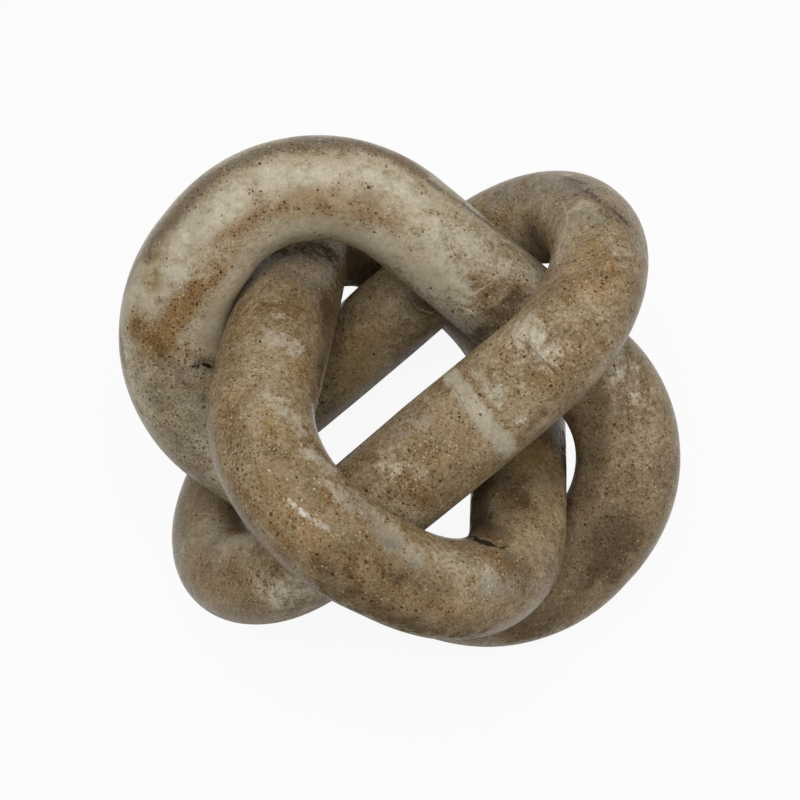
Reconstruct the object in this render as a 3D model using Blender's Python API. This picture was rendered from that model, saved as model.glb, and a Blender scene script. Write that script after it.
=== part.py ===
"""Marble chain sculpture: three closed links of round bar, carved loose inside one another.

No two links are joined to each other alone. The right link goes round the left one, the left one goes
round the front one and the front one goes round the right one. Metres, +Z up, standing on one end of
each link.
"""

from math import cos, pi, radians, sin

import bpy
import numpy as np
from mathutils import Euler, Matrix, Vector

# Thickness of each link's bar. A link swells on one side of its loop, at so many degrees from the +X end,
# and its two ends are thicker than its long sides by twice the end swell, or thinner where it is below 0.
# The left link also has one bulge, where less stone was cut away.
RIGHT_BAR = 0.0244
RIGHT_SWELL = 0.0010
RIGHT_SWELL_AT = 83
RIGHT_END_SWELL = -0.0011
FRONT_BAR = 0.0252
FRONT_SWELL = 0.0008
FRONT_SWELL_AT = 242
FRONT_END_SWELL = -0.0012
LEFT_BAR = 0.0256
LEFT_SWELL = 0.0020
LEFT_SWELL_AT = 59
LEFT_END_SWELL = 0.0008
LEFT_BULGE = 0.0038
LEFT_BULGE_AT = 228
LEFT_BULGE_REACH = 40

# Width of each link over all, and the play of the link that it goes round along its hole
RIGHT_WIDTH = 0.0905
RIGHT_END_PLAY = 0.0071
FRONT_WIDTH = 0.1001
FRONT_END_PLAY = 0.0092
LEFT_WIDTH = 0.0999
LEFT_END_PLAY = 0.0047

# Corner radius of each hole, whose ends are nearly half round
RIGHT_HOLE_CORNER = 0.0200
FRONT_HOLE_CORNER = 0.0215
LEFT_HOLE_CORNER = 0.0220

# How the links lie: turns about X, Y and Z in degrees, and about where two centres lie from the right one's
RIGHT_TURNS = (144.8, -26.3, 34.4)
FRONT_TURNS = (-30.1, -24.0, -93.9)
LEFT_TURNS = (32.1, 26.7, -28.9)
FRONT_FROM_RIGHT = (0.0024, 0.0003, -0.0019)
LEFT_FROM_RIGHT = (0.0028, -0.0045, 0.0019)

# Gap left between two links that rest on each other
REST_GAP = 0.0003

# Two points of a centreline closer than this are one
LEAST_STEP = 0.00001

BEND_STEPS = 12
SIDE_STEPS = 5
BAR_SIDES = 24
GAP_STEPS = 6
SEAT_ROUNDS = 60
LEVEL_ROUNDS = 8


class Link:
    """One link: its measures, how it lies, and its centreline in its own frame, long way along X."""

    def __init__(self, name, bar, swells, width, hole_length, hole_corner, turns, bulge=(0, 0, 1)):
        self.name = name
        self.bar = bar
        self.swell, self.swell_at, self.end_swell = swells
        self.bulge, self.bulge_at, self.bulge_reach = bulge
        self.half_long = (hole_length + bar) / 2
        self.half_short = (width - bar) / 2
        self.corner = min(hole_corner + bar / 2, self.half_short)
        self.turn = Euler([radians(turn) for turn in turns]).to_matrix()
        self.place = Vector()
        self.path = self.centreline()
        self.radii = self.bar_radii()

    def centreline(self):
        """A rounded rectangle, anticlockwise from the middle of its +X end."""
        points = []
        for quarter, (side_x, side_y) in enumerate(((1, 1), (-1, 1), (-1, -1), (1, -1))):
            centre_x = side_x * (self.half_long - self.corner)
            centre_y = side_y * (self.half_short - self.corner)
            for step in range(BEND_STEPS + 1):
                angle = (quarter + step / BEND_STEPS) * pi / 2
                points.append((centre_x + self.corner * cos(angle), centre_y + self.corner * sin(angle), 0))
            if side_x == side_y:
                for step in range(1, SIDE_STEPS):
                    points.append((centre_x * (1 - 2 * step / SIDE_STEPS), side_y * self.half_short, 0))
        return without_repeats(np.array(points))

    def bar_radii(self):
        """Half the bar's thickness at each point, by its way round the loop from the +X end."""
        steps = np.linalg.norm(np.roll(self.path, -1, axis=0) - self.path, axis=1)
        way = np.cumsum(steps) - steps + self.path[0, 1]
        turn = 2 * pi * way / steps.sum()
        sided = self.swell * np.cos(turn - radians(self.swell_at))
        from_bulge = (np.degrees(turn) - self.bulge_at + 180) % 360 - 180
        bulge = self.bulge * np.exp(-((from_bulge / self.bulge_reach) ** 2))
        return (self.bar + sided + self.end_swell * np.cos(2 * turn) + bulge) / 2

    def placed(self):
        """The centreline where the link lies in the sculpture."""
        return self.path @ np.array(self.turn).T + np.array(self.place)


def without_repeats(points):
    """Leaves out a point that lies on the one before it, as where bends fill a whole end."""
    steps = np.linalg.norm(points - np.roll(points, 1, axis=0), axis=1)
    return points[steps > LEAST_STEP]


def between(values):
    """The values round a loop with evenly spaced ones in between, to measure gaps on."""
    shares = np.arange(GAP_STEPS)[:, None] / GAP_STEPS
    ahead = np.roll(values, -1, axis=0)
    return np.concatenate([start + shares * (end - start) for start, end in zip(values, ahead)])


def nearest(link, others):
    """The least gap from a link to the others, and the way that widens it."""
    points, radii = between(link.placed()), between(link.radii[:, None])
    found = []
    for other in others:
        apart = points[:, None] - between(other.placed())[None]
        gaps = np.linalg.norm(apart, axis=2) - radii - between(other.radii[:, None])[:, 0]
        closest = np.unravel_index(gaps.argmin(), gaps.shape)
        found.append((gaps[closest], Vector(apart[closest]).normalized()))
    return min(found, key=lambda pair: pair[0])


def seat(link, others):
    """Shifts a link off what it runs into, or up to what it nearly touches, until it rests there."""
    for _ in range(SEAT_ROUNDS):
        gap, way = nearest(link, others)
        link.place += way * (REST_GAP - gap)
    print(f"{link.name} rests {nearest(link, others)[0] * 1000:.3f} mm from its nearest neighbour")


def foot(link):
    """The lowest point of a link."""
    points = link.placed()
    lowest = (points[:, 2] - link.radii).argmin()
    return Vector(points[lowest]) - Vector((0, 0, link.radii[lowest]))


def level(links):
    """Turns all the links together, until their lowest points are level."""
    for _ in range(LEVEL_ROUNDS):
        first, second, third = [foot(link) for link in links]
        normal = (second - first).cross(third - first).normalized()
        if normal.z < 0:
            normal.negate()
        righting = normal.rotation_difference(Vector((0, 0, 1))).to_matrix()
        for link in links:
            link.turn = righting @ link.turn
            link.place = righting @ link.place


def centre_on_ground(links):
    """Puts the origin on the ground, under the middle of the space that the links take."""
    lowest = np.min([(link.placed() - link.radii[:, None]).min(axis=0) for link in links], axis=0)
    highest = np.max([(link.placed() + link.radii[:, None]).max(axis=0) for link in links], axis=0)
    middle = (lowest + highest) / 2
    for link in links:
        link.place -= Vector((middle[0], middle[1], lowest[2]))


def make_links():
    """The three links, each hole as long as the link that it goes round is wide, with some play."""
    right_hole = LEFT_WIDTH + RIGHT_END_PLAY
    front_hole = RIGHT_WIDTH + FRONT_END_PLAY
    left_hole = FRONT_WIDTH + LEFT_END_PLAY
    right_swells = (RIGHT_SWELL, RIGHT_SWELL_AT, RIGHT_END_SWELL)
    front_swells = (FRONT_SWELL, FRONT_SWELL_AT, FRONT_END_SWELL)
    left_swells = (LEFT_SWELL, LEFT_SWELL_AT, LEFT_END_SWELL)
    right = Link("right_link", RIGHT_BAR, right_swells, RIGHT_WIDTH, right_hole, RIGHT_HOLE_CORNER, RIGHT_TURNS)
    front = Link("front_link", FRONT_BAR, front_swells, FRONT_WIDTH, front_hole, FRONT_HOLE_CORNER, FRONT_TURNS)
    bulge = (LEFT_BULGE, LEFT_BULGE_AT, LEFT_BULGE_REACH)
    left = Link("left_link", LEFT_BAR, left_swells, LEFT_WIDTH, left_hole, LEFT_HOLE_CORNER, LEFT_TURNS, bulge)
    front.place = Vector(FRONT_FROM_RIGHT)
    left.place = Vector(LEFT_FROM_RIGHT)
    seat(left, [right])
    seat(front, [right, left])
    links = [right, front, left]
    level(links)
    centre_on_ground(links)
    return links


def marble(name, colour):
    """Polished stone of one overall colour."""
    material = bpy.data.materials.new(name)
    material.use_nodes = True
    shader = material.node_tree.nodes["Principled BSDF"]
    shader.inputs["Base Color"].default_value = (*colour, 1)
    shader.inputs["Roughness"].default_value = 0.4
    shader.inputs["Metallic"].default_value = 0
    material.diffuse_color = (*colour, 1)
    return material


def build(link, material, collection):
    """The link as a closed curve with a round section, its origin at the link's centre."""
    curve = bpy.data.curves.new(link.name, "CURVE")
    curve.dimensions = "3D"
    curve.bevel_depth = link.bar / 2
    curve.bevel_resolution = BAR_SIDES // 2 - 2
    spline = curve.splines.new("POLY")
    spline.points.add(len(link.path) - 1)
    spline.use_cyclic_u = True
    spline.use_smooth = True
    for point, place, radius in zip(spline.points, link.path, link.radii):
        point.co = (*place, 1)
        point.radius = radius / curve.bevel_depth
    curve.materials.append(material)
    piece = bpy.data.objects.new(link.name, curve)
    piece.matrix_world = Matrix.Translation(link.place) @ link.turn.to_4x4()
    collection.objects.link(piece)


def main():
    for old in list(bpy.data.objects):
        bpy.data.objects.remove(old, do_unlink=True)
    collection = bpy.data.collections.new("marble_chain_sculpture")
    bpy.context.scene.collection.children.link(collection)
    right, front, left = make_links()
    build(right, marble("speckled_marble", (0.33, 0.25, 0.18)), collection)
    build(front, marble("brown_marble", (0.35, 0.27, 0.19)), collection)
    build(left, marble("stained_marble", (0.48, 0.41, 0.31)), collection)


main()
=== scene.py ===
"""Looks of the marble chain sculpture: three carved links of speckled marble on a white ground."""

from math import cos, pi, radians, sin
from typing import NamedTuple

import bpy
import numpy as np
from mathutils import Euler, Matrix, Vector


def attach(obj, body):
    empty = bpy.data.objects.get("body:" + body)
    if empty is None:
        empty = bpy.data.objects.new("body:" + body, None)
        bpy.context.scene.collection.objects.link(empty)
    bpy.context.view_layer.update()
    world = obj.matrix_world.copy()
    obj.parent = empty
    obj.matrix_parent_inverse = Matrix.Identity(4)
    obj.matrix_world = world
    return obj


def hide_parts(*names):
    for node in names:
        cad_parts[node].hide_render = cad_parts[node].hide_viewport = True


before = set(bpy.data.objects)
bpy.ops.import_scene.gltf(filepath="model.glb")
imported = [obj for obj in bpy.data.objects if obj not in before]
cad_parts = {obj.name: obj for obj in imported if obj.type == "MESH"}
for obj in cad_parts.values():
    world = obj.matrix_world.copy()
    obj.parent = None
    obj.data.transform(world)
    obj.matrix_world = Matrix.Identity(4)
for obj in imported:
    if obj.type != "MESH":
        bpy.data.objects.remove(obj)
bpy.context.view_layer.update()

# The camera: where it is, what it looks at, how far it is rolled, and its lens on a 36 mm wide sensor
CAMERA_PLACE = Vector((0.004339, -0.146762, 0.344315))
CAMERA_AIM = Vector((-0.001558, -0.003430, 0.050000))
CAMERA_ROLL = radians(-0.84)
CAMERA_LENS = 56.05
CAMERA_NEAR = 0.01
SENSOR = 36.0
PICTURE_SIDE = 800

# The mesh of each link: points round its loop and round its bar
LOOP_POINTS = 640
BAR_POINTS = 144

# How far the carving wanders inwards from the true round bar, how long its slow and quick waves are, all in
# metres, and the share that the slow ones have
WANDER = 0.00015
SLOW_WAVE = 0.030
QUICK_WAVE = 0.009
SLOW_SHARE = 0.8

# The quick waves' random seed, past the slow ones'
QUICK_SEED = 10

# A ripple is the sum of this many waves, with lengths between these shares of the one asked for. The sum is
# brought softly to its limits, and the larger this number, the more softly.
RIPPLE_WAVES = 9
RIPPLE_LENGTHS = (0.7, 1.4)
RIPPLE_SOFTNESS = 3

# A millimetre in metres: marks and dents have their sizes and depths in millimetres
MM = 0.001


class Link:
    """One link's measures in metres and degrees, from the CAD model, and what its stone is like.

    swells: how much the bar's thickness gains on one side of the loop and loses on the other, where that
    side is, and how much it gains at both ends and loses on both long sides. bulge: how much thicker still
    it is at one place, where, and how far that reaches. colours are those of its clouds, crowding is how
    full of specks it is, and stretch how wide a speck is for its length along the bedding. far_from is how
    far along the link its end of other stone starts.
    """

    def __init__(
        self, name, slot, bar, swells, width, hole_length, hole_corner, centre, turns, seed, colours,
        crowding, stretch, bulge=(0, 0, 1), far_from=np.inf,
    ):
        self.name = name
        self.slot = slot
        self.bar = bar
        self.swell, self.swell_at, self.end_swell = swells
        self.bulge, self.bulge_at, self.bulge_reach = bulge
        self.half_long = (hole_length + bar) / 2
        self.half_short = (width - bar) / 2
        self.corner = hole_corner + bar / 2
        self.centre = np.array(centre)
        self.turn = np.array(Euler([radians(turn) for turn in turns]).to_matrix())
        self.seed = seed
        self.colours = colours
        self.crowding = crowding
        self.stretch = stretch
        self.far_from = far_from


RIGHT = Link(
    name="right_link", slot="speckled_marble", bar=0.0244, swells=(0.0010, 83, -0.0011),
    width=0.0905, hole_length=0.1070, hole_corner=0.0200,
    centre=(-0.002989, -0.000503, 0.048683), turns=(144.112, -25.793, 34.702), seed=1,
    colours=("8e7a5c", "a89678"), crowding=0.5, stretch=0.85,
)
FRONT = Link(
    name="front_link", slot="brown_marble", bar=0.0252, swells=(0.0008, 242, -0.0012),
    width=0.1001, hole_length=0.0997, hole_corner=0.0215,
    centre=(-0.000480, -0.000262, 0.046820), turns=(-30.114, -24.800, -93.894), seed=2,
    colours=("8b7759", "a49171"), crowding=0.5, stretch=0.85,
)
LEFT = Link(
    name="left_link", slot="stained_marble", bar=0.0256, swells=(0.0020, 59, 0.0008),
    width=0.0999, hole_length=0.1048, hole_corner=0.0220,
    centre=(-0.000138, -0.004157, 0.049980), turns=(31.285, 26.371, -29.264), seed=3,
    colours=("ab9d83", "c6bba5"), crowding=0.3, stretch=0.9, bulge=(0.0038, 228, 40), far_from=0.008,
)


def make_camera():
    """The camera, rolled about its own line of sight. Returns the ways it calls right, up and forward."""
    forward = (CAMERA_AIM - CAMERA_PLACE).normalized()
    level = forward.cross(Vector((0, 0, 1))).normalized()
    upright = level.cross(forward)
    right = level * cos(CAMERA_ROLL) + upright * sin(CAMERA_ROLL)
    above = right.cross(forward)
    data = bpy.data.cameras.new("camera")
    data.lens = CAMERA_LENS
    data.sensor_width = SENSOR
    data.clip_start = CAMERA_NEAR
    camera = bpy.data.objects.new("camera", data)
    axes = Matrix((right, above, -forward)).transposed()
    camera.matrix_world = Matrix.Translation(CAMERA_PLACE) @ axes.to_4x4()
    bpy.context.scene.collection.objects.link(camera)
    bpy.context.scene.camera = camera
    return np.array(right), np.array(above), np.array(forward)


def centreline(link):
    """Even points round the loop from the middle of its +X end, and the angle that each is round it."""
    straight = np.array((link.half_long - link.corner, link.half_short - link.corner))
    corners = []
    for quarter, side in enumerate(((1, 1), (-1, 1), (-1, -1), (1, -1))):
        angles = (quarter + np.linspace(0, 1, LOOP_POINTS)) * pi / 2
        arc = np.stack((np.cos(angles), np.sin(angles)), axis=1)
        corners.append(straight * side + link.corner * arc)
    start = [(link.half_long, 0)]
    dense = np.concatenate([start, *corners, start])
    ways = np.concatenate(([0], np.cumsum(np.linalg.norm(np.diff(dense, axis=0), axis=1))))
    even = np.linspace(0, ways[-1], LOOP_POINTS, endpoint=False)
    points = np.stack([np.interp(even, ways, dense[:, axis]) for axis in range(2)], axis=1)
    return points, 2 * pi * even / ways[-1]


def ripple(points, wave, seed):
    """A smooth random value from 0 to 1 at each point, made of a few slow waves."""
    random = np.random.default_rng(seed)
    total = np.zeros(len(points))
    for _ in range(RIPPLE_WAVES):
        way = random.normal(size=3)
        way *= 2 * pi / (wave * random.uniform(*RIPPLE_LENGTHS)) / np.linalg.norm(way)
        total += np.sin(points @ way + random.uniform(0, 2 * pi))
    return 0.5 + 0.5 * np.tanh(total / RIPPLE_SOFTNESS)


def thickness(link, turn):
    """How thick the bar is at each angle round the loop."""
    from_bulge = (np.degrees(turn) - link.bulge_at + 180) % 360 - 180
    swell = link.swell * np.cos(turn - radians(link.swell_at)) + link.end_swell * np.cos(2 * turn)
    return link.bar + swell + link.bulge * np.exp(-((from_bulge / link.bulge_reach) ** 2))


def make_mesh(link):
    """A closed tube round the centreline, a little uneven as carved stone is."""
    path, turn = centreline(link)
    ahead = np.roll(path, -1, axis=0) - np.roll(path, 1, axis=0)
    ahead /= np.linalg.norm(ahead, axis=1)[:, None]
    outward = np.stack((ahead[:, 1], -ahead[:, 0]), axis=1)
    round_bar = np.arange(BAR_POINTS) * 2 * pi / BAR_POINTS

    def place(radii):
        flat = path[:, None] + (radii * np.cos(round_bar))[..., None] * outward[:, None]
        return np.concatenate((flat, (radii * np.sin(round_bar))[..., None]), axis=-1).reshape(-1, 3)

    grid = (LOOP_POINTS, BAR_POINTS)
    radii = thickness(link, turn)[:, None] / 2
    start = place(radii)
    slow = ripple(start, SLOW_WAVE, link.seed).reshape(grid)
    quick = ripple(start, QUICK_WAVE, link.seed + QUICK_SEED).reshape(grid)
    points = place(radii - WANDER * (SLOW_SHARE * slow + (1 - SLOW_SHARE) * quick))
    points = points @ link.turn.T + link.centre
    steps = np.arange(LOOP_POINTS * BAR_POINTS).reshape(grid)
    onward = np.roll(steps, -1, axis=0)
    faces = np.stack((steps, onward, np.roll(onward, -1, axis=1), np.roll(steps, -1, axis=1)), axis=-1)
    mesh = bpy.data.meshes.new(link.name + "_stone")
    mesh.from_pydata(points.tolist(), [], faces.reshape(-1, 4).tolist())
    mesh.shade_smooth()
    mesh.update()
    return mesh


# What shows at a pixel is looked for within this many pixels of it, and within this depth of the nearest
# point there, in metres
NEAR_PIXELS = 3
NEAR_DEPTH = 0.004

# A mark on one pixel is a line of about this length, in metres
SPOT_LENGTH = 0.00001


class Surface:
    """A link's finished surface, and where the photograph's camera sees each point of it."""

    def __init__(self, mesh, view):
        right, above, forward = view
        self.mesh = mesh
        self.points = np.empty((len(mesh.vertices), 3))
        mesh.vertices.foreach_get("co", self.points.ravel())
        self.normals = np.empty((len(mesh.vertices), 3))
        mesh.vertex_normals.foreach_get("vector", self.normals.ravel())
        away = self.points - np.array(CAMERA_PLACE)
        self.depth = away @ forward
        scale = CAMERA_LENS / SENSOR * PICTURE_SIDE / self.depth
        self.x = PICTURE_SIDE / 2 + scale * (away @ right)
        self.y = PICTURE_SIDE / 2 - scale * (away @ above)
        self.turned_away = (self.normals * away).sum(axis=1) / np.linalg.norm(away, axis=1)

    def seen_at(self, x, y):
        """The point of this link that shows at a pixel of the photograph."""
        off = np.where(self.turned_away < 0, np.hypot(self.x - x, self.y - y), np.inf)
        near = off < max(NEAR_PIXELS, off.min() + 1)
        nearest_depth = self.depth[near].min()
        best = np.where(near & (self.depth < nearest_depth + NEAR_DEPTH), off, np.inf).argmin()
        return self.points[best]

    def from_line(self, line):
        """How far each point is from the line that these pixels show, and how far to the line's left."""
        stops = [self.seen_at(x, y) for x, y in line]
        if len(stops) == 1:
            stops.append(stops[0] + SPOT_LENGTH)
        off = np.full(len(self.points), np.inf)
        side = np.zeros(len(self.points))
        for start, end in zip(stops, stops[1:]):
            along = end - start
            share = np.clip((self.points - start) @ along / (along @ along), 0, 1)
            apart = self.points - start - share[:, None] * along
            away = np.linalg.norm(apart, axis=1)
            across = np.cross(self.normals, along / np.linalg.norm(along))
            nearer = away < off
            off[nearer] = away[nearer]
            side[nearer] = (apart * across).sum(axis=1)[nearer]
        return off, side

    def write(self, name, values):
        """Keeps a value for every point of the mesh, for the stone's nodes to read."""
        attribute = self.mesh.attributes.new(name, "FLOAT", "POINT")
        attribute.data.foreach_set("value", values.astype(np.float32))


# Marks that tint the stone, in the order they are laid over each other: how much they cover, and colour
TINTS = {
    "tan": (0.58, "a0835a"),
    "pale": (0.68, "c0b8a6"),
    "grey": (0.65, "8a7f72"),
    "moss": (0.60, "7f7a64"),
    "olive": (0.70, "87703a"),
    "dark": (0.75, "5f4d38"),
    "rust": (0.50, "7d5728"),
    "cream": (0.60, "dbd1bc"),
}

# Small marks with a hard edge, laid over everything but soot and painted shade, and thin lines, given the
# same way
FLECKS = {
    "white": (0.90, "dfdacb"),
    "black": (0.95, "15100c"),
}
LINES = {
    "scratch": (0.80, "cdc4ae"),
    "crack": (0.80, "2c2117"),
}

# Marks where the stone is plain, where it has painted shade, painted glints of pale sparks, or more specks
OTHER_MARKS = ("plain", "shade", "painted_glint", "specked")

# A soft mark fades out at this many times its size
MARK_REACH = 1.4

# A line fades out over the last third of this distance from itself, in metres
LINE_REACH = 0.0016
LINE_FADE = 1 / 3

# Painted shade between the links falls off over this distance from another link, in metres. Every fourth
# point of that link's centreline is near enough to measure from.
CREVICE_REACH = 0.0022
CREVICE_STEP = 4

# How far a surface that looks sideways counts as underside, and how much less one that looks up does. The
# underside gets painted shade.
SIDE_IS_UNDER = 0.2
UP_IS_LESS_UNDER = 1.6

# How quickly the patches of the hidden side come in past the edge of what the photograph shows
HIDDEN_RISE = 4

# One end of the left link is of other stone than the rest, which blends in over this length, in metres
FAR_BLEND = 0.022


def dig(surface, dents):
    """Sinks dents into the stone: depth and size in mm, and the pixels that the dent runs through."""
    for depth, size, line in dents:
        share = np.clip(surface.from_line(line)[0] / (size * MM), 0, 1)
        surface.points -= surface.normals * (depth * MM * (1 - share**2) ** 2)[:, None]
    surface.mesh.vertices.foreach_set("co", surface.points.ravel())
    surface.mesh.update()


def crevice(points, others):
    """1 where a point touches another link, falling off with its gap from it: painted shade goes there."""
    gap = np.full(len(points), np.inf)
    for other in others:
        path, _ = centreline(other)
        path = np.column_stack((path, np.zeros(LOOP_POINTS)))[::CREVICE_STEP]
        for middle in path @ other.turn.T + other.centre:
            gap = np.minimum(gap, np.linalg.norm(points - middle, axis=1) - other.bar / 2)
    return np.exp(-np.clip(gap, 0, None) / CREVICE_REACH)


def write_marks(surface, marks):
    """Writes how strong each kind of mark is at every point, and for lines how far to their left it is."""
    for kind in (*TINTS, *FLECKS, *OTHER_MARKS, "soot"):
        total = np.zeros(len(surface.points))
        for size, strength, line in marks.get(kind, ()):
            near = np.clip(1 - surface.from_line(line)[0] / (MARK_REACH * size * MM), 0, 1)
            total = np.maximum(total, strength * near * near * (3 - 2 * near))
        surface.write(kind, total)
    for kind in LINES:
        presence = np.zeros(len(surface.points))
        sides = np.ones(len(surface.points))
        for strength, line in marks.get(kind, ()):
            off, side = surface.from_line(line)
            near = strength * np.clip((1 - off / LINE_REACH) / LINE_FADE, 0, 1)
            nearer = near > presence
            presence[nearer] = near[nearer]
            sides[nearer] = side[nearer]
        surface.write(kind, presence)
        surface.write(kind + "_side", sides / MM)


# Marks on the links: size in mm, strength, and the pixels of the photograph that the mark runs
# through. A scratch or crack has only its strength, and a dent its depth and size in mm. A dent with a depth
# below 0 is a swelling.
LEFT_MARKS = {
    "pale": [
        (5.0, 0.75, [(150, 290), (185, 235), (225, 205), (275, 182)]),
        (3.5, 0.9, [(195, 222), (240, 190)]),
        (3.5, 0.8, [(275, 180), (330, 172), (385, 180), (420, 195)]),
        (2.0, 1.0, [(170, 265), (180, 280)]),
        (4.5, 0.85, [(440, 250), (462, 280)]),
        (3.0, 0.7, [(125, 290), (124, 320)]),
        (2.5, 0.5, [(420, 205), (405, 215)]),
        # Painted light: the bar's inner side made lighter
        (5.0, 0.5, [(240, 275), (275, 243), (330, 228), (380, 240)]),
        (4.0, 0.6, [(410, 205), (450, 235), (480, 250)]),
    ],
    "tan": [
        (5.0, 1.0, [(258, 200), (250, 222), (232, 240)]),
        (5.0, 0.9, [(225, 250), (215, 275), (205, 300)]),
        (5.5, 0.9, [(290, 205), (325, 200), (370, 212)]),
        (4.5, 1.0, [(200, 292), (178, 320), (160, 340)]),
        (5.5, 1.0, [(135, 325), (145, 350), (160, 345)]),
        (4.5, 0.8, [(375, 215), (395, 225)]),
        (3.0, 0.8, [(480, 280), (510, 290)]),
        (5.0, 0.9, [(490, 312), (515, 290)]),
        (3.0, 0.6, [(340, 140), (390, 155), (420, 175)]),
    ],
    "rust": [
        (2.2, 0.8, [(252, 192), (268, 208)]),
        (2.4, 0.9, [(258, 215), (246, 226), (235, 232)]),
        (1.8, 0.7, [(222, 236), (215, 243)]),
        (1.8, 0.8, [(262, 222), (270, 215), (285, 205)]),
        (1.8, 0.7, [(215, 262), (222, 272), (210, 285)]),
        (3.6, 1.0, [(195, 292), (178, 310), (162, 325)]),
        (3.4, 0.9, [(138, 328), (150, 336), (162, 345)]),
        (2.6, 1.0, [(180, 318), (170, 335)]),
        (4.0, 0.9, [(138, 332), (154, 344)]),
        (2.0, 0.9, [(178, 348), (190, 354)]),
        (2.4, 1.0, [(322, 206), (330, 212)]),
        (2.0, 0.7, [(335, 190), (345, 178), (350, 176)]),
        (2.0, 0.7, [(362, 183), (370, 188)]),
        (2.4, 0.6, [(362, 215), (385, 225), (395, 235)]),
        (2.2, 0.8, [(470, 278), (488, 288)]),
        (1.8, 0.8, [(362, 144), (390, 156)]),
        (2.5, 0.8, [(482, 300), (500, 285)]),
        (2.0, 0.6, [(490, 318), (500, 330)]),
    ],
    "dark": [
        (4.0, 1.0, [(150, 247), (180, 207), (205, 182), (238, 162), (275, 147), (310, 140)]),
        (4.6, 1.0, [(295, 143), (325, 142), (352, 144)]),
        (3.6, 1.0, [(350, 142), (392, 155), (420, 172)]),
        (2.0, 0.7, [(125, 290), (150, 245)]),
        (1.6, 0.7, [(430, 182), (480, 218), (540, 255)]),
        (4.5, 0.9, [(520, 300), (500, 325), (485, 335)]),
        (4.5, 0.3, [(150, 375), (165, 410), (185, 450)]),
        (2.8, 0.8, [(200, 362), (212, 366)]),
        (3.5, 0.5, [(190, 385), (205, 400)]),
        (5.0, 0.5, [(145, 360), (175, 368)]),
        (1.6, 0.8, [(120, 330), (124, 365)]),
        # Painted shade, with the shade marks below: darker at the bottom of the far end
        (8.0, 0.5, [(605, 565), (580, 590)]),
    ],
    "cream": [
        # Painted light: the bar's inner side made lighter
        (5.0, 0.45, [(215, 320), (240, 275), (275, 243), (330, 226), (385, 238)]),
        (4.5, 0.6, [(395, 200), (412, 208), (435, 245), (460, 275)]),
        (4.5, 0.5, [(210, 220), (250, 190), (300, 172), (400, 183)]),
        (3.0, 0.5, [(130, 300), (165, 262), (182, 240)]),
        # Painted light: the far end's top made lighter
        (7.0, 0.45, [(610, 360), (640, 400)]),
    ],
    "specked": [
        (4.0, 0.9, [(180, 207), (238, 162), (310, 140), (355, 144), (400, 160)]),
        (5.0, 1.0, [(135, 320), (150, 345), (190, 350)]),
        (5.0, 0.8, [(200, 290), (175, 330)]),
        (5.0, 0.8, [(138, 322), (156, 346)]),
        (6.0, 0.8, [(145, 365), (165, 410), (190, 455)]),
        (5.0, 1.2, [(150, 350), (180, 365), (200, 372)]),
        (3.0, 0.8, [(195, 385), (205, 372)]),
        (5.0, 0.9, [(475, 325), (500, 300), (520, 290)]),
        (3.5, 0.8, [(440, 320), (460, 335)]),
        (3.0, 0.7, [(545, 275), (530, 262)]),
        (9.0, 0.5, [(640, 380), (660, 440), (640, 510), (600, 560)]),
    ],
    "olive": [
        (3.4, 1.3, [(157, 262), (153, 280)]),
        (5.0, 0.9, [(140, 332), (158, 342)]),
        (5.0, 0.15, [(225, 310), (260, 260), (325, 228)]),
        (2.5, 0.7, [(300, 148), (318, 152)]),
        (2.5, 0.4, [(325, 160), (345, 158)]),
        (4.0, 0.4, [(400, 210), (420, 225)]),
        (4.0, 0.4, [(318, 224), (350, 228)]),
        (4.0, 0.5, [(195, 292), (170, 325)]),
    ],
    "grey": [
        (4.0, 0.35, [(330, 226), (365, 232)]),
        (4.0, 0.5, [(170, 430), (195, 460)]),
        (3.0, 0.5, [(445, 255), (460, 270)]),
    ],
    "moss": [
        (6.5, 1.0, [(160, 390), (185, 395), (195, 420)]),
        (3.5, 0.7, [(200, 375), (205, 395)]),
        (3.0, 0.7, [(422, 240), (442, 245)]),
    ],
    "white": [
        (0.7, 0.9, [(466, 309), (470, 311)]),
        (0.6, 0.7, [(478, 312)]),
        (0.7, 0.7, [(503, 305)]),
    ],
    "black": [(0.8, 0.9, [(203, 363), (210, 366)]), (0.5, 0.7, [(193, 366), (199, 365)])],
    # Painted glints: pale sparks crowded where highlights fall
    "painted_glint": [(4.0, 0.8, [(505, 305), (495, 318)]), (3.0, 0.6, [(345, 176), (370, 185)])],
    "plain": [
        (9.0, 1.0, [(135, 300), (165, 255), (225, 205), (290, 175), (380, 180), (420, 200)]),
        (8.0, 1.0, [(212, 335), (225, 300), (260, 250), (330, 228), (400, 250), (450, 275)]),
    ],
    "scratch": [
        (1.0, [(455, 316), (458, 305), (465, 298), (478, 290), (492, 281), (500, 273), (511, 263)]),
        (0.8, [(462, 206), (480, 220), (500, 236), (520, 253), (541, 268)]),
        (0.6, [(470, 220), (490, 238), (512, 256)]),
        (0.5, [(415, 273), (425, 280)]),
        (0.5, [(318, 232), (332, 230)]),
    ],
    "crack": [
        (0.8, [(466, 206), (484, 220), (503, 237), (522, 254), (543, 270)]),
        (0.7, [(500, 232), (530, 262), (540, 275)]),
    ],
    # Painted shade: on the far end's inner side and bottom, and where the other links shade the bar
    "shade": [
        (4.0, 0.4, [(600, 400), (598, 450), (585, 500)]),
        (9.0, 1.1, [(620, 530), (600, 562)]),
        (7.0, 0.6, [(560, 618), (520, 632)]),
        (6.0, 0.6, [(505, 295), (485, 325), (470, 345)]),
        (4.0, 0.3, [(140, 330), (160, 345)]),
    ],
    "dents": [
        (0.35, 1.2, [(468, 310)]),
        (0.3, 1.5, [(204, 364)]),
        (-0.6, 9.0, [(222, 350), (228, 318), (238, 285)]),
    ],
}
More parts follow.
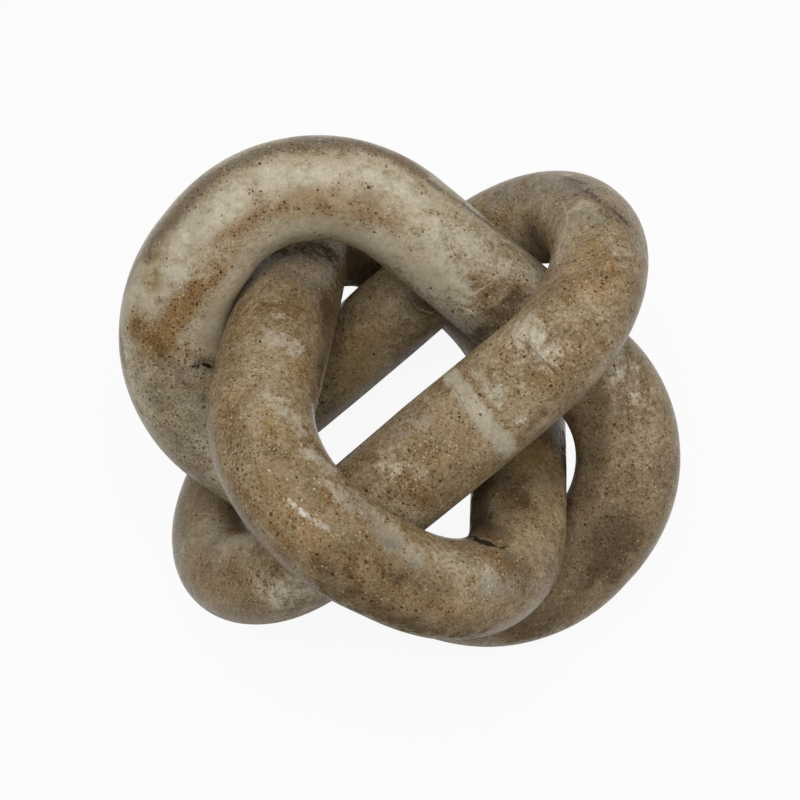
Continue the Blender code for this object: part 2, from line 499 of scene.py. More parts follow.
FRONT_MARKS = {
    "pale": [
        (4.0, 0.9, [(272, 336), (290, 346)]),
        (2.2, 0.6, [(290, 410), (300, 428)]),
        (2.5, 0.6, [(262, 390), (280, 405), (300, 430)]),
        (3.0, 0.7, [(310, 452), (330, 468)]),
        (4.5, 0.7, [(345, 495), (375, 515), (395, 540)]),
        (3.0, 0.8, [(402, 545), (418, 558)]),
        (4.5, 0.6, [(445, 560), (490, 575)]),
        (2.5, 0.5, [(330, 485), (345, 500)]),
        (5.0, 0.3, [(275, 300), (285, 325)]),
    ],
    "tan": [
        (4.0, 0.6, [(250, 300), (240, 330)]),
        (5.0, 0.4, [(275, 300), (285, 325)]),
        (4.5, 0.7, [(300, 370), (318, 395)]),
        (4.5, 0.6, [(225, 400), (225, 440)]),
        (5.0, 0.9, [(270, 480), (300, 520), (330, 555)]),
        (4.0, 0.6, [(350, 550), (420, 600), (470, 615)]),
    ],
    "rust": [
        (1.8, 0.8, [(232, 478), (250, 502), (262, 515)]),
        (2.0, 0.8, [(272, 525), (288, 545), (292, 550)]),
        (2.0, 0.5, [(300, 360), (325, 375)]),
        (1.6, 0.9, [(325, 492), (328, 500)]),
        (1.8, 0.7, [(350, 560), (358, 590)]),
        (2.4, 0.5, [(222, 412), (240, 432)]),
        (2.0, 0.9, [(490, 556), (512, 568)]),
        (1.5, 0.8, [(528, 566), (533, 572)]),
        (2.0, 0.6, [(300, 375), (315, 385)]),
        (1.4, 0.8, [(378, 560), (385, 570)]),
        (2.2, 0.6, [(430, 606), (445, 612)]),
        (2.0, 0.5, [(250, 395), (262, 388)]),
    ],
    "dark": [
        # Painted shade where the left link lies over this one
        (5.5, 0.8, [(262, 262), (290, 252), (330, 260)]),
        (3.5, 0.7, [(320, 290), (326, 330)]),
        (3.0, 0.6, [(240, 285), (230, 310)]),
        (2.6, 0.9, [(318, 560), (330, 572)]),
        (3.0, 0.5, [(345, 582), (370, 600)]),
        # Painted shade on the inner side of the right bar
        (4.0, 0.7, [(480, 520), (500, 535)]),
        (5.0, 0.7, [(505, 480), (520, 500)]),
        (3.0, 0.6, [(510, 560), (525, 575)]),
        (3.0, 0.5, [(390, 575), (420, 585)]),
        (6.0, 0.3, [(275, 478), (300, 500)]),
    ],
    "specked": [
        (6.0, 0.8, [(270, 300), (305, 330), (315, 380)]),
        (5.0, 0.7, [(230, 360), (225, 420), (240, 470)]),
        (6.0, 0.6, [(260, 500), (320, 560), (400, 600)]),
        (5.0, 0.6, [(480, 560), (520, 570)]),
    ],
    "olive": [
        (1.6, 1.0, [(268, 424), (272, 436)]),
        (5.0, 0.7, [(520, 470), (545, 450)]),
        (3.0, 0.5, [(520, 500), (530, 510)]),
        (3.0, 0.5, [(290, 300), (300, 310)]),
    ],
    "grey": [
        (4.5, 0.8, [(285, 275), (315, 285)]),
        (3.0, 0.7, [(350, 500), (395, 545)]),
        (4.0, 0.6, [(480, 590), (530, 580)]),
        (3.0, 0.6, [(545, 455), (556, 480)]),
    ],
    "moss": [(1.8, 0.9, [(498, 546), (510, 556)])],
    "white": [
        # A painted highlight: a broken white streak where the light glints
        (1.6, 0.6, [(288, 501), (302, 511), (315, 520), (330, 530)]),
        (0.55, 0.9, [(497, 494)]),
        (0.5, 0.8, [(268, 470)]),
        (0.6, 0.7, [(316, 479)]),
    ],
    "black": [
        (0.62, 1.0, [(261, 341)]),
        (0.5, 0.6, [(264, 348)]),
        (1.2, 1.0, [(470, 536), (480, 541), (490, 544)]),
        (0.8, 0.9, [(488, 543), (503, 547)]),
    ],
    # Painted glints: pale sparks crowded where highlights fall
    "painted_glint": [
        (2.2, 1.0, [(290, 503), (312, 518), (330, 530)]),
        (1.2, 1.0, [(306, 513), (318, 522)]),
        (2.0, 0.9, [(470, 588), (488, 596)]),
        (2.5, 0.6, [(238, 308), (262, 285)]),
        (2.0, 0.5, [(310, 476), (320, 485)]),
    ],
    "scratch": [
        (0.9, [(218, 338), (226, 318), (234, 302), (244, 288)]),
        (0.9, [(236, 306), (246, 296), (256, 287)]),
        (0.7, [(242, 312), (254, 298), (266, 284)]),
        (0.6, [(232, 320), (240, 303)]),
        (0.6, [(248, 318), (261, 298)]),
        (0.6, [(240, 330), (250, 316)]),
        (0.5, [(262, 300), (276, 286)]),
        (0.6, [(486, 519), (494, 502)]),
    ],
    "crack": [
        (1.0, [(470, 538), (482, 541), (492, 544), (505, 546)]),
        (0.5, [(335, 300), (330, 330), (322, 360)]),
    ],
    "dents": [
        (0.5, 1.3, [(261, 341)]),
        (1.1, 1.8, [(474, 539), (486, 542), (500, 545)]),
        (0.5, 1.5, [(313, 481)]),
        (-0.4, 8.0, [(216, 345), (228, 315), (240, 285)]),
        (-1.4, 7.0, [(350, 282), (362, 283)]),
    ],
    # Painted shade: under the left link, on the bars' inner sides and at the bottom
    "shade": [
        (7.0, 0.6, [(275, 250), (330, 252)]),
        (5.0, 0.5, [(330, 300), (325, 350), (315, 400)]),
        (8.0, 0.5, [(340, 545), (380, 568), (430, 590)]),
        (7.0, 0.5, [(330, 590), (400, 625), (470, 632)]),
        (6.0, 1.2, [(474, 535), (475, 510), (480, 485)]),
        (7.0, 0.5, [(520, 500), (545, 470)]),
        (7.0, 1.2, [(350, 262), (368, 278), (380, 268)]),
        (4.0, 0.6, [(564, 440), (565, 470)]),
    ],
}
RIGHT_MARKS = {
    "pale": [
        (2.6, 1.8, [(445, 367), (462, 390), (479, 413), (496, 434), (511, 452)]),
        (3.2, 0.8, [(478, 374), (497, 398)]),
        (4.5, 0.85, [(528, 325), (540, 350)]),
        (3.0, 0.3, [(592, 300), (604, 318)]),
        (2.5, 0.5, [(405, 415), (425, 425)]),
        (3.5, 0.7, [(580, 206), (594, 214)]),
        (1.5, 0.7, [(522, 420)]),
        (4.0, 0.35, [(612, 240), (628, 262)]),
        # Painted light at the link's lower end
        (4.0, 0.4, [(275, 600), (305, 598)]),
    ],
    "tan": [
        (5.0, 0.4, [(500, 345), (525, 330)]),
        (6.0, 0.8, [(378, 322), (360, 345)]),
        (5.0, 0.8, [(580, 280), (600, 300)]),
        (6.0, 0.7, [(360, 370), (342, 388)]),
        (5.0, 0.6, [(440, 425), (465, 440)]),
        (5.0, 0.6, [(555, 370), (575, 330)]),
        (5.0, 0.7, [(590, 250), (620, 280)]),
        (5.0, 0.5, [(420, 450), (460, 460)]),
        (4.5, 0.8, [(195, 560), (210, 590)]),
    ],
    "rust": [
        (1.0, 0.9, [(466, 372), (488, 405), (522, 440)]),
        (1.6, 0.9, [(563, 296), (574, 302)]),
        (1.6, 1.0, [(600, 340), (607, 348)]),
        (3.4, 0.9, [(405, 482), (425, 500)]),
        (4.0, 0.8, [(232, 565), (245, 585)]),
        (2.2, 0.6, [(500, 350), (512, 345)]),
        (2.0, 0.5, [(600, 290), (615, 270)]),
        (2.5, 0.6, [(530, 375), (545, 385)]),
        (2.5, 0.5, [(455, 440), (465, 448)]),
        (1.2, 0.7, [(555, 390), (557, 396)]),
        (5.0, 0.4, [(215, 500), (238, 522)]),
    ],
    "dark": [
        (2.0, 0.6, [(567, 178), (590, 196), (618, 216), (632, 224)]),
        # Painted shade inside the loop
        (5.0, 0.7, [(535, 225), (545, 250)]),
        # Painted shade, faint, on the bar that the other links shade
        (5.0, 0.2, [(380, 340), (350, 380)]),
        (6.0, 0.3, [(428, 442), (466, 424)]),
        # Painted shade where the left link shades this bar
        (6.0, 0.2, [(215, 495), (240, 525)]),
        (3.0, 0.5, [(415, 495), (430, 505)]),
        (3.0, 0.6, [(425, 285), (440, 300)]),
    ],
    "cream": [
        (7.0, 0.35, [(520, 335), (545, 345)]),
        (5.0, 0.3, [(385, 465), (410, 480)]),
        # Painted light, faint, on the bar that the other links shade
        (6.0, 0.12, [(360, 320), (385, 335)]),
        # Painted light at the link's lower end
        (6.0, 0.9, [(275, 595), (305, 595)]),
        (2.2, 0.5, [(450, 372), (479, 413), (508, 448)]),
    ],
    "specked": [
        (5.0, 0.7, [(450, 350), (500, 300), (540, 260)]),
        (5.0, 0.6, [(560, 380), (600, 330)]),
        (4.0, 0.8, [(395, 520), (430, 500)]),
        (1.2, 1.0, [(466, 372), (488, 405), (522, 440)]),
        (1.2, 1.0, [(440, 380), (470, 425), (500, 460)]),
        (6.0, 0.5, [(200, 560), (260, 590)]),
    ],
    "olive": [
        (6.0, 0.4, [(370, 340), (350, 370)]),
        (3.5, 0.5, [(235, 600), (260, 605)]),
        (3.5, 0.4, [(570, 260), (590, 240)]),
    ],
    "grey": [
        (5.5, 0.9, [(500, 195), (545, 185), (580, 190)]),
        (4.0, 0.7, [(178, 520), (176, 560)]),
        (5.0, 0.6, [(610, 205), (635, 240)]),
        (4.0, 0.5, [(400, 430), (420, 415)]),
        (3.5, 0.7, [(300, 595), (320, 600)]),
    ],
    "moss": [(3.0, 0.7, [(585, 215), (600, 222)]), (3.0, 0.6, [(250, 600), (262, 608)])],
    "white": [
        (0.7, 0.9, [(565, 175), (572, 175)]),
        (0.6, 0.8, [(518, 422), (525, 418)]),
        (0.6, 0.9, [(545, 264)]),
        (0.8, 0.6, [(548, 350)]),
    ],
    "plain": [(2.6, 1.0, [(445, 367), (462, 390), (479, 413), (496, 434), (511, 452)])],
    "soot": [
        (1.3, 0.9, [(566, 177), (574, 181), (586, 184)]),
        (1.1, 1.0, [(572, 197), (578, 194), (586, 190)]),
        (1.6, 1.0, [(587, 190), (594, 197), (602, 204)]),
        (1.2, 0.9, [(600, 214), (611, 216), (620, 222)]),
        (1.5, 1.0, [(608, 207), (618, 215), (629, 226)]),
        (1.0, 0.6, [(500, 330), (520, 312)]),
    ],
    # Painted glints: pale sparks crowded where highlights fall
    "painted_glint": [
        (4.5, 0.9, [(400, 475), (425, 452), (450, 435)]),
        (3.5, 0.7, [(465, 460), (490, 445)]),
        (2.5, 0.6, [(563, 200), (570, 225)]),
        (3.0, 0.5, [(530, 350), (550, 340)]),
    ],
    "scratch": [
        (0.8, [(562, 205), (568, 215), (566, 232), (560, 245)]),
        (0.7, [(545, 216), (538, 232)]),
        (0.7, [(556, 222), (550, 240)]),
        (0.6, [(533, 222), (530, 238)]),
        (1.0, [(413, 299), (418, 309), (430, 314), (441, 308)]),
        (0.6, [(548, 238), (552, 252), (549, 266)]),
        (0.6, [(538, 290), (528, 303)]),
        (0.5, [(600, 180), (616, 192)]),
        (0.8, [(534, 214), (533, 222)]),
        (0.7, [(538, 221), (534, 226)]),
        (0.6, [(551, 221), (548, 228)]),
        (0.6, [(543, 212), (545, 218)]),
        (0.7, [(541, 236), (542, 242)]),
        (0.6, [(560, 241), (557, 248)]),
        (0.6, [(558, 252), (556, 258)]),
    ],
    "crack": [
        (0.5, [(452, 383), (458, 396), (463, 405)]),
        (0.6, [(520, 340), (540, 358), (556, 372)]),
        (0.6, [(412, 302), (418, 311), (430, 316)]),
    ],
    "dents": [
        (0.35, 1.6, [(424, 306)]),
        (0.3, 1.4, [(603, 344)]),
        (-1.8, 8.0, [(543, 256)]),
        (-1.0, 6.0, [(544, 262)]),
        (-0.6, 6.0, [(352, 300), (364, 288)]),
    ],
    # Painted shade inside the loop and beside the small dent
    "shade": [
        (6.0, 0.8, [(533, 236), (543, 254)]),
        (5.0, 0.7, [(417, 300), (432, 304)]),
    ],
}


def linear(code):
    """A colour from its code of six hexadecimal digits, by the sRGB curve."""
    parts = [int(code[place:place + 2], 16) / 255 for place in (0, 2, 4)]
    return (*[part / 12.92 if part <= 0.04045 else ((part + 0.055) / 1.055) ** 2.4 for part in parts], 1)


class Specks(NamedTuple):
    """A layer of specks: the size in metres of the cells that hold one each, the largest one's radius as a
    share of that, where its edge starts as a share of its radius, how much it covers, and its colour."""

    cell: float
    largest: float
    edge: float
    cover: float
    code: str


BLOTS = Specks(0.00300, 0.32, 0.10, 0.40, "7a5127")
FINE_SPECKS = Specks(0.00090, 0.46, 0.55, 0.82, "674219")
BIG_SPECKS = Specks(0.00160, 0.34, 0.50, 0.94, "4c2e0f")
RUST_DUST = Specks(0.00065, 0.50, 0.50, 0.75, "6b481b")
# Pale sparks of crystal; where a painted glint mark crowds them they are a painted highlight
SPARKS = Specks(0.00080, 0.45, 0.30, 0.68, "dcd2b8")

# The smallest speck of a layer as a share of its largest
SMALLEST_SPECK = 0.4

# How full of specks the stone is: what the far end and kinds of mark add, what share of them a smooth place
# loses, and what share of them blots and big specks have. Then how full of dust rust is, how full of sparks
# all the stone is, and what a painted glint mark adds, crowding pale sparks where highlights are painted.
FAR_CROWDING = 0.15
MARK_CROWDING = {"rust": 0.9, "dark": 0.4, "specked": 0.9}
SMOOTH_LOSES_SPECKS = 0.93
BIG_CROWDING = 0.6
DUST_CROWDING = 0.75
SPARK_CROWDING = 0.3
PAINTED_GLINT_CROWDING = 0.7

# Fine specks cover this much more on rust
RUST_COVER = 0.12

# Noises in the stone: the size of their features in metres, their detail and their roughness
CLOUDS = (0.0160, 3.0, 0.60)
BROWNS = (0.0110, 4.0, 0.70)
PATCHES = (0.0045, 4.0, 0.65)
CRYSTALS = (0.0015, 3.0, 0.65)
GRAIN = (0.0006, 2.0, 0.65)

# A noise with features of the first size shifts the pattern by up to half of the second, in metres
SHIFT_SIZE = 0.006
SHIFT = 0.0022

# The way the stone's bedding runs, along which specks are drawn out
BEDDING = Vector((0.72, -0.62, -0.31))

# How much each noise counts in breaking up the edge of a mark, in making the stone darker or lighter, in
# breaking up soot, and in raising the surface
EDGE_SHARES = {"patches": 2.0, "crystals": 1.3}
MOTTLE_SHARES = {"crystals": 1.3, "patches": 1.0, "grain": 1.6}
SOOT_SHARES = {"grain": 2.0, "crystals": 3.0}
HEIGHT_SHARES = {"crystals": 1.0, "grain": 0.5}

# A fleck's edge is broken up by this share of what breaks up a soft mark's
FLECK_BREAKS = 0.5

# Patches made by noise on the side that the photograph doesn't show: size in metres, and strength
HIDDEN_PATCHES = {
    "pale": (0.0170, 0.9),
    "tan": (0.0210, 0.8),
    "rust": (0.0115, 0.9),
    "dark": (0.0145, 0.6),
    "grey": (0.0190, 0.6),
}

# Ramps: the value that each starts and ends at, and what it gives there where that isn't 0 and 1
CLOUD_RAMP = (0.35, 0.65)
BROWN_RAMP = (0.50, 0.70)
HIDDEN_RAMP = (0.52, 0.66)
FLECK_RAMP = (0.45, 0.70)
SOFT_RAMP = (0.0, 1.0)
PRESENT_RAMP = (0.0, 0.25)
CROWD_RAMP = (-0.15, 0.12, 1.5, 0.4)
SOOT_RAMP = (0.75, 1.05)
SOOT_EDGE_RAMP = (0.1, 0.3)
ROUGHNESS_RAMP = (-0.15, 0.15, 0.18, 0.34)

# A thin line fades from its core to its edge between these distances in mm, wiggles with the patches by
# this many mm, and is fainter where the crystals' noise is low
LINE_RAMP = (0.10, 0.30, 1.0, 0.0)
LINE_WIGGLE = 1.6
LINE_BREAK_RAMP = (-0.12, 0.08, 0.5, 1.0)

# How smooth a pale patch is where a plain one is 1, and how much mottling a smooth place loses
PALE_SMOOTHNESS = 0.75
SMOOTH_LOSES_MOTTLE = 0.75

# The darkest that mottling makes the stone, and the powers by which green and blue change faster than red
DARKEST_MOTTLE = 0.2
GREEN_POWER = 1.15
BLUE_POWER = 1.5

# Colours of the clouds on the left link's far end, then how much brown patches and soot cover, with their
# colours, and the colour of painted shade
FAR_COLOURS = ("8d7a60", "a59275")
BROWN = (0.60, "7c5f3c")
SOOT = (0.85, "30271e")
PAINTED_SHADE_COLOUR = "2e2115"

# How much painted shade there is in a crevice between links, how that varies from patch to patch, and how
# much painted shade the underside and a shade mark have
CREVICE_SHADE = 0.5
CREVICE_VARIES = 0.8
UNDERSIDE_SHADE = 0.35
SHADE_MARK_DARKNESS = 0.6

# What crevices, undersides and shade marks add to the roughness, how much more a shade mark counts, and what
# a spark takes off
UNPOLISHED_ROUGHNESS = 0.5
SHADE_ROUGHENS = 1.5
SPARK_SMOOTHNESS = 0.12

# The polish: its specular level, how deep a fine speck lies where the crystals' noise has height 1, and
# the bump of these heights
SPECULAR = 0.13
SPECK_SINKS = 0.3
BUMP = {"Strength": 0.5, "Distance": 0.00035}


class Graph:
    """The nodes of a material or a world, added and joined one by one."""

    def __init__(self, owner, output="ShaderNodeOutputMaterial"):
        owner.use_nodes = True
        self.nodes = owner.node_tree.nodes
        self.links = owner.node_tree.links
        self.nodes.clear()
        self.output = self.add(output)

    def feed(self, socket, value):
        if isinstance(value, bpy.types.NodeSocket):
            self.links.new(value, socket)
        else:
            socket.default_value = value

    def add(self, kind, inputs=(), **settings):
        node = self.nodes.new(kind)
        for name, value in settings.items():
            setattr(node, name, value)
        for name, value in dict(inputs).items():
            self.feed(node.inputs[name], value)
        return node

    def show(self, shader):
        """Makes a shader the surface's look."""
        self.feed(self.output.inputs["Surface"], shader.outputs[0])

    def maths(self, operation, first, second=0.0, third=0.0):
        return self.add("ShaderNodeMath", {0: first, 1: second, 2: third}, operation=operation).outputs[0]

    def plus(self, first, second):
        return self.maths("ADD", first, second)

    def less(self, first, second):
        return self.maths("SUBTRACT", first, second)

    def times(self, first, second):
        return self.maths("MULTIPLY", first, second)

    def times_plus(self, first, second, third):
        return self.maths("MULTIPLY_ADD", first, second, third)

    def larger(self, first, second):
        return self.maths("MAXIMUM", first, second)

    def summed(self, values, shares, total=0.0):
        """A total with values added to it, each times its share."""
        for name, share in shares.items():
            total = self.times_plus(values[name], share, total)
        return total

    def vectors(self, operation, first, second):
        return self.add("ShaderNodeVectorMath", {0: first, 1: second}, operation=operation).outputs[0]

    def scaled(self, vector, factor):
        inputs = {0: vector, "Scale": factor}
        return self.add("ShaderNodeVectorMath", inputs, operation="SCALE").outputs[0]

    def ramp(self, value, low, high, at_low=0.0, at_high=1.0):
        """Goes smoothly from one value to another as the first goes from low to high."""
        inputs = {"Value": value, "From Min": low, "From Max": high, "To Min": at_low, "To Max": at_high}
        return self.add("ShaderNodeMapRange", inputs, interpolation_type="SMOOTHSTEP").outputs["Result"]

    def mix(self, share, first, second, way="MIX"):
        inputs = {0: share, 6: first, 7: second}
        return self.add("ShaderNodeMix", inputs, data_type="RGBA", blend_type=way).outputs[2]

    def laid_on(self, colour, where, cover, code):
        """The colour with another laid over it where a value says, covering it by up to a share."""
        return self.mix(self.times(where, cover), colour, linear(code))

    def shaded(self, colour, factor):
        """The colour made darker and browner, or lighter and paler."""
        green = self.maths("POWER", factor, GREEN_POWER)
        blue = self.maths("POWER", factor, BLUE_POWER)
        warm = self.add("ShaderNodeCombineColor", {0: factor, 1: green, 2: blue}).outputs[0]
        return self.mix(1.0, colour, warm, "MULTIPLY")

    def noise(self, where, size, detail=2.0, roughness=0.5, output="Fac"):
        """Cloudy noise with features of a size in metres."""
        inputs = {"Vector": where, "Scale": 1 / size, "Detail": detail, "Roughness": roughness}
        return self.add("ShaderNodeTexNoise", inputs).outputs[output]

    def centred_noise(self, where, size, detail, roughness):
        """Noise brought round 0."""
        return self.less(self.noise(where, size, detail, roughness), 0.5)

    def drawn_out(self, where, way, share):
        """The coordinates pressed together along a direction, so that specks on them are longer that way."""
        along = self.add("ShaderNodeVectorMath", {0: where, 1: way}, operation="DOT_PRODUCT")
        surplus = self.times(along.outputs["Value"], 1 - share)
        return self.vectors("SUBTRACT", where, self.scaled(way, surplus))

    def attribute(self, name):
        return self.add("ShaderNodeAttribute", attribute_name=name).outputs["Fac"]

    def specks(self, layer, where, crowding):
        """Round spots of uneven size, one at most in each cell, where crowding says."""
        cells = self.add("ShaderNodeTexVoronoi", {"Vector": where, "Scale": 1 / layer.cell})
        chance = self.add("ShaderNodeSeparateColor", {0: cells.outputs["Color"]})
        there = self.maths("LESS_THAN", chance.outputs[0], crowding)
        smallest = SMALLEST_SPECK * layer.largest
        reach = self.times_plus(chance.outputs[1], layer.largest - smallest, smallest)
        share = self.maths("DIVIDE", cells.outputs["Distance"], reach)
        return self.times(there, self.ramp(share, layer.edge, 1.0, 1.0, 0.0))

    def direct_look(self):
        """1 for what the camera sees straight on, in a reflection or through glass, and 0 for light that
        falls on the object."""
        path = self.add("ShaderNodeLightPath").outputs
        seen = self.larger(path["Is Camera Ray"], path["Is Glossy Ray"])
        return self.larger(seen, path["Is Transmission Ray"])


class Stone(Graph):
    """Polished marble with clouds, crystals, specks and the marks of one link, among them painted shade and
    painted glints.
    """

    def __init__(self, link):
        self.material = bpy.data.materials.new(link.name + "_marble")
        super().__init__(self.material)
        self.plain = self.add("ShaderNodeTexCoord").outputs["Object"]
        shift = self.noise(self.plain, SHIFT_SIZE, output="Color")
        shift = self.vectors("SUBTRACT", shift, (0.5, 0.5, 0.5))
        self.where = self.vectors("ADD", self.plain, self.scaled(shift, SHIFT))
        self.drawn = self.drawn_out(self.where, BEDDING, link.stretch)
        self.noises = {
            "patches": self.centred_noise(self.where, *PATCHES),
            "crystals": self.centred_noise(self.plain, *CRYSTALS),
            "grain": self.centred_noise(self.plain, *GRAIN),
        }
        self.edge = self.summed(self.noises, EDGE_SHARES)
        self.far = self.attribute("far")
        self.hidden = self.attribute("hidden")
        self.crevice = self.attribute("crevice")
        self.under = self.attribute("under")
        self.marks = {kind: self.mark(kind) for kind in (*TINTS, *FLECKS, *OTHER_MARKS)}
        self.smooth = self.larger(self.marks["plain"], self.times(self.marks["pale"], PALE_SMOOTHNESS))
        self.crowded = self.crowding(link)
        self.fine_specks = self.specks(FINE_SPECKS, self.drawn, self.crowded)
        # Sparks all over, crowded where glints are painted as highlights
        sparks_and_glints = self.times_plus(self.marks["painted_glint"], PAINTED_GLINT_CROWDING, SPARK_CROWDING)
        self.sparks = self.specks(SPARKS, self.drawn, sparks_and_glints)
        shader = self.add("ShaderNodeBsdfPrincipled", {
            "Base Color": self.colour(link),
            "Roughness": self.roughness(),
            "Specular IOR Level": SPECULAR,
            "Normal": self.bump(),
        })
        self.show(shader)

    def mark(self, kind):
        """Where marks of a kind lie, with edges broken up by the stone's patches and crystals."""
        value = self.attribute(kind)
        if kind in HIDDEN_PATCHES:
            size, strength = HIDDEN_PATCHES[kind]
            patch = self.ramp(self.noise(self.plain, size), *HIDDEN_RAMP, 0.0, strength)
            value = self.larger(value, self.times(patch, self.hidden))
        if kind in FLECKS:
            return self.ramp(self.times_plus(self.edge, FLECK_BREAKS, value), *FLECK_RAMP)
        soft = self.ramp(self.plus(value, self.edge), *SOFT_RAMP)
        return self.times(self.ramp(value, *PRESENT_RAMP), soft)

    def colour(self, link):
        """The stone's colour with all that lies on it."""
        cloudy = self.ramp(self.noise(self.where, *CLOUDS), *CLOUD_RAMP)
        near = self.mix(cloudy, *map(linear, link.colours))
        far = self.mix(cloudy, *map(linear, FAR_COLOURS))
        colour = self.mix(self.far, near, far)
        for kind, (cover, code) in TINTS.items():
            colour = self.laid_on(colour, self.marks[kind], cover, code)
        colour = self.mottled(colour)
        colour = self.specked(colour)
        colour = self.lined(colour)
        for kind, (cover, code) in FLECKS.items():
            colour = self.laid_on(colour, self.marks[kind], cover, code)
        return self.sooted_and_shaded(colour)

    def mottled(self, colour):
        """The colour with brown patches, darker and lighter from crystal to crystal."""
        rough = self.less(1.0, self.times(self.smooth, SMOOTH_LOSES_MOTTLE))
        brown = self.ramp(self.noise(self.where, *BROWNS), *BROWN_RAMP)
        colour = self.laid_on(colour, self.times(brown, self.times(rough, rough)), *BROWN)
        factor = self.times_plus(self.summed(self.noises, MOTTLE_SHARES), rough, 1.0)
        return self.shaded(colour, self.larger(factor, DARKEST_MOTTLE))

    def crowding(self, link):
        """How full of specks the stone is, from patch to patch and mark to mark."""
        crowding = self.times(self.ramp(self.noises["patches"], *CROWD_RAMP), link.crowding)
        crowding = self.times_plus(self.far, FAR_CROWDING, crowding)
        crowding = self.times(crowding, self.less(1.0, self.times(self.smooth, SMOOTH_LOSES_SPECKS)))
        return self.summed(self.marks, MARK_CROWDING, crowding)

    def specked(self, colour):
        """The colour with blots, fine and big specks, rusty dust and sparks; where glint marks crowd the
        sparks they are painted glints.
        """
        rust = self.marks["rust"]
        fewer = self.times(self.crowded, BIG_CROWDING)
        blots = self.specks(BLOTS, self.drawn, fewer)
        big_specks = self.specks(BIG_SPECKS, self.drawn, fewer)
        dust = self.specks(RUST_DUST, self.where, self.times(rust, DUST_CROWDING))
        fine_cover = self.times_plus(rust, RUST_COVER, FINE_SPECKS.cover)
        colour = self.laid_on(colour, blots, BLOTS.cover, BLOTS.code)
        colour = self.laid_on(colour, self.fine_specks, fine_cover, FINE_SPECKS.code)
        colour = self.laid_on(colour, big_specks, BIG_SPECKS.cover, BIG_SPECKS.code)
        colour = self.laid_on(colour, dust, RUST_DUST.cover, RUST_DUST.code)
        return self.laid_on(colour, self.sparks, SPARKS.cover, SPARKS.code)

    def lined(self, colour):
        """The colour with thin scratches and cracks."""
        wiggle = self.times(self.noises["patches"], LINE_WIGGLE)
        whole = self.ramp(self.noises["crystals"], *LINE_BREAK_RAMP)
        for kind, (cover, code) in LINES.items():
            off = self.maths("ABSOLUTE", self.plus(self.attribute(kind + "_side"), wiggle))
            line = self.times(self.ramp(off, *LINE_RAMP), self.attribute(kind))
            colour = self.laid_on(colour, self.times(line, whole), cover, code)
        return colour

    def sooted_and_shaded(self, colour):
        """The colour with soot, and with painted shade in crevices, underneath and where a shade mark says.
        """
        soot = self.attribute("soot")
        broken = self.ramp(self.summed(self.noises, SOOT_SHARES, soot), *SOOT_RAMP)
        colour = self.laid_on(colour, self.times(broken, self.ramp(soot, *SOOT_EDGE_RAMP)), *SOOT)
        # Painted shade: darker where the links crowd each other, on the underside and under shade marks
        strength = self.times_plus(self.noises["patches"], CREVICE_VARIES, CREVICE_SHADE)
        painted_shade = self.larger(self.times(self.crevice, strength), self.times(self.under, UNDERSIDE_SHADE))
        painted_shade = self.larger(painted_shade, self.times(self.marks["shade"], SHADE_MARK_DARKNESS))
        return self.mix(painted_shade, colour, linear(PAINTED_SHADE_COLOUR))

    def roughness(self):
        """Polished stone, smoothest at its sparks and rougher in crevices, underneath and at shade marks,
        where painted shade lies.
        """
        sparks = self.times(self.marks["painted_glint"], self.sparks)
        polished = self.ramp(self.noises["crystals"], *ROUGHNESS_RAMP)
        polished = self.times_plus(sparks, -SPARK_SMOOTHNESS, polished)
        unpolished = self.larger(self.crevice, self.under)
        unpolished = self.larger(self.times(self.marks["shade"], SHADE_ROUGHENS), unpolished)
        return self.plus(polished, self.times(unpolished, UNPOLISHED_ROUGHNESS))

    def bump(self):
        """Fine unevenness of the polish, with the specks a little sunk."""
        height = self.summed(self.noises, HEIGHT_SHARES)
        height = self.times_plus(self.fine_specks, -SPECK_SINKS, height)
        return self.add("ShaderNodeBump", {"Height": height, **BUMP}).outputs["Normal"]


def make_link(link, others, body, marks, view):
    """One link's stone with its marks. It rides on the link's body in place of the CAD solid."""
    mesh = make_mesh(link)
    dig(Surface(mesh, view), marks["dents"])
    surface = Surface(mesh, view)
    write_marks(surface, marks)
    # How near each point is to the other links and how far it faces down: both darken it with painted shade
    surface.write("crevice", crevice(surface.points, others))
    surface.write("under", np.clip(SIDE_IS_UNDER - UP_IS_LESS_UNDER * surface.normals[:, 2], 0, 1))
    surface.write("hidden", np.clip(HIDDEN_RISE * surface.turned_away, 0, 1))
    along = (surface.points - link.centre) @ link.turn[:, 0]
    surface.write("far", np.clip((along - link.far_from) / FAR_BLEND, 0, 1))
    mesh.materials.append(Stone(link).material)
    piece = bpy.data.objects.new(link.name + "_stone", mesh)
    bpy.context.scene.collection.objects.link(piece)
    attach(piece, body)
    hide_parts(link.name)


# The floor: its width in metres, its colour where light on the object comes off it and where it is seen, and
# the share of a plain glow in what is seen, the rest being lit so that the shadow shows
FLOOR_SIDE = 6.0
FLOOR_BOUNCE = (0.20, 0.17, 0.13, 1)
FLOOR_SEEN = (0.95, 0.95, 0.95, 1)
FLOOR_GLOW = 0.92
WHITE = {"Color": (1, 1, 1, 1), "Strength": 1.0}

# Light from all round
WORLD_LIGHT = {"Color": (1, 0.96, 0.88, 1), "Strength": 0.36}

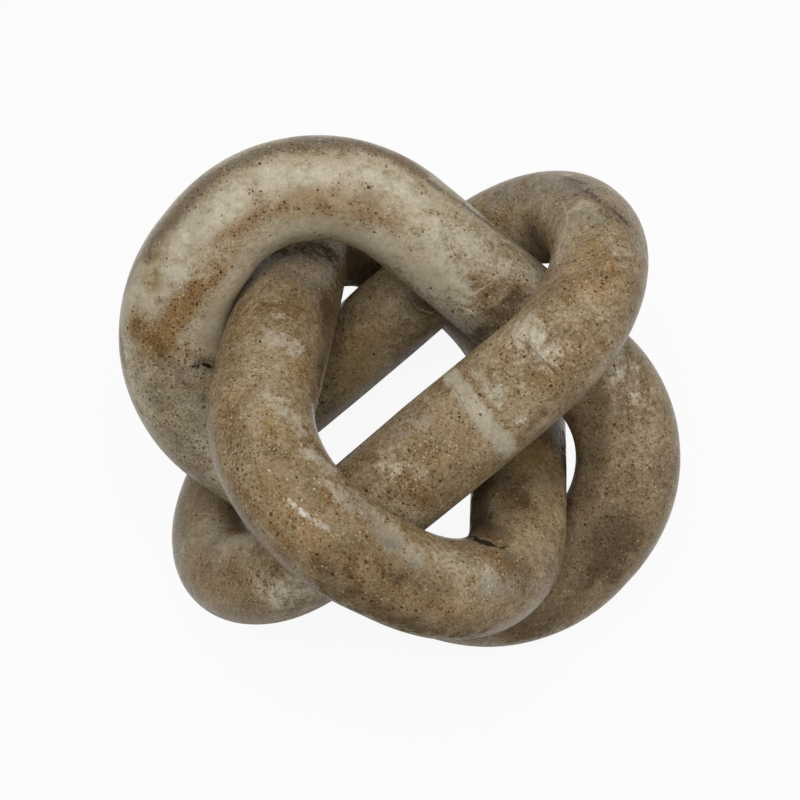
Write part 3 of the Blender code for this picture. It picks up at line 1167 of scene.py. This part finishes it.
# Round lamps: place and width in metres, and power in watts. They face this point.
LAMPS = {
    "key": ((-0.04, -0.05, 0.54), 0.42, 1.02),
    "gleam": ((-0.03, -0.17, 0.52), 0.03, 0.12),
    "side": ((0.50, -0.16, 0.26), 0.20, 0.40),
}
LAMPS_FACE = Vector((0, 0, 0.05))


def make_floor():
    """A plain white ground that keeps a faint shadow."""
    bpy.ops.mesh.primitive_plane_add(size=FLOOR_SIDE)
    floor = bpy.context.object
    floor.name = "floor"
    material = bpy.data.materials.new("floor_white")
    graph = Graph(material)
    look = graph.direct_look()
    lit = graph.add("ShaderNodeBsdfDiffuse", {"Color": graph.mix(look, FLOOR_BOUNCE, FLOOR_SEEN)}).outputs[0]
    glow = graph.add("ShaderNodeEmission", WHITE).outputs[0]
    graph.show(graph.add("ShaderNodeMixShader", {0: graph.times(look, FLOOR_GLOW), 1: lit, 2: glow}))
    floor.data.materials.append(material)


def make_world():
    """Plain warm light on the object, and white where the background is seen."""
    world = bpy.data.worlds.new("studio")
    bpy.context.scene.world = world
    graph = Graph(world, "ShaderNodeOutputWorld")
    light = graph.add("ShaderNodeBackground", WORLD_LIGHT).outputs[0]
    white = graph.add("ShaderNodeBackground", WHITE).outputs[0]
    graph.show(graph.add("ShaderNodeMixShader", {0: graph.direct_look(), 1: light, 2: white}))


def make_lamp(name, place, size, power):
    data = bpy.data.lights.new(name, "AREA")
    data.shape = "DISK"
    data.size = size
    data.energy = power
    lamp = bpy.data.objects.new(name, data)
    lamp.location = place
    lamp.rotation_euler = (LAMPS_FACE - Vector(place)).to_track_quat("-Z", "Y").to_euler()
    bpy.context.scene.collection.objects.link(lamp)


bpy.context.scene.view_settings.view_transform = "Standard"
view = make_camera()
make_floor()
make_world()
for name, (place, size, power) in LAMPS.items():
    make_lamp(name, place, size, power)
make_link(RIGHT, (FRONT, LEFT), "right_link_body", RIGHT_MARKS, view)
make_link(FRONT, (RIGHT, LEFT), "front_link_body", FRONT_MARKS, view)
make_link(LEFT, (RIGHT, FRONT), "left_link_body", LEFT_MARKS, view)
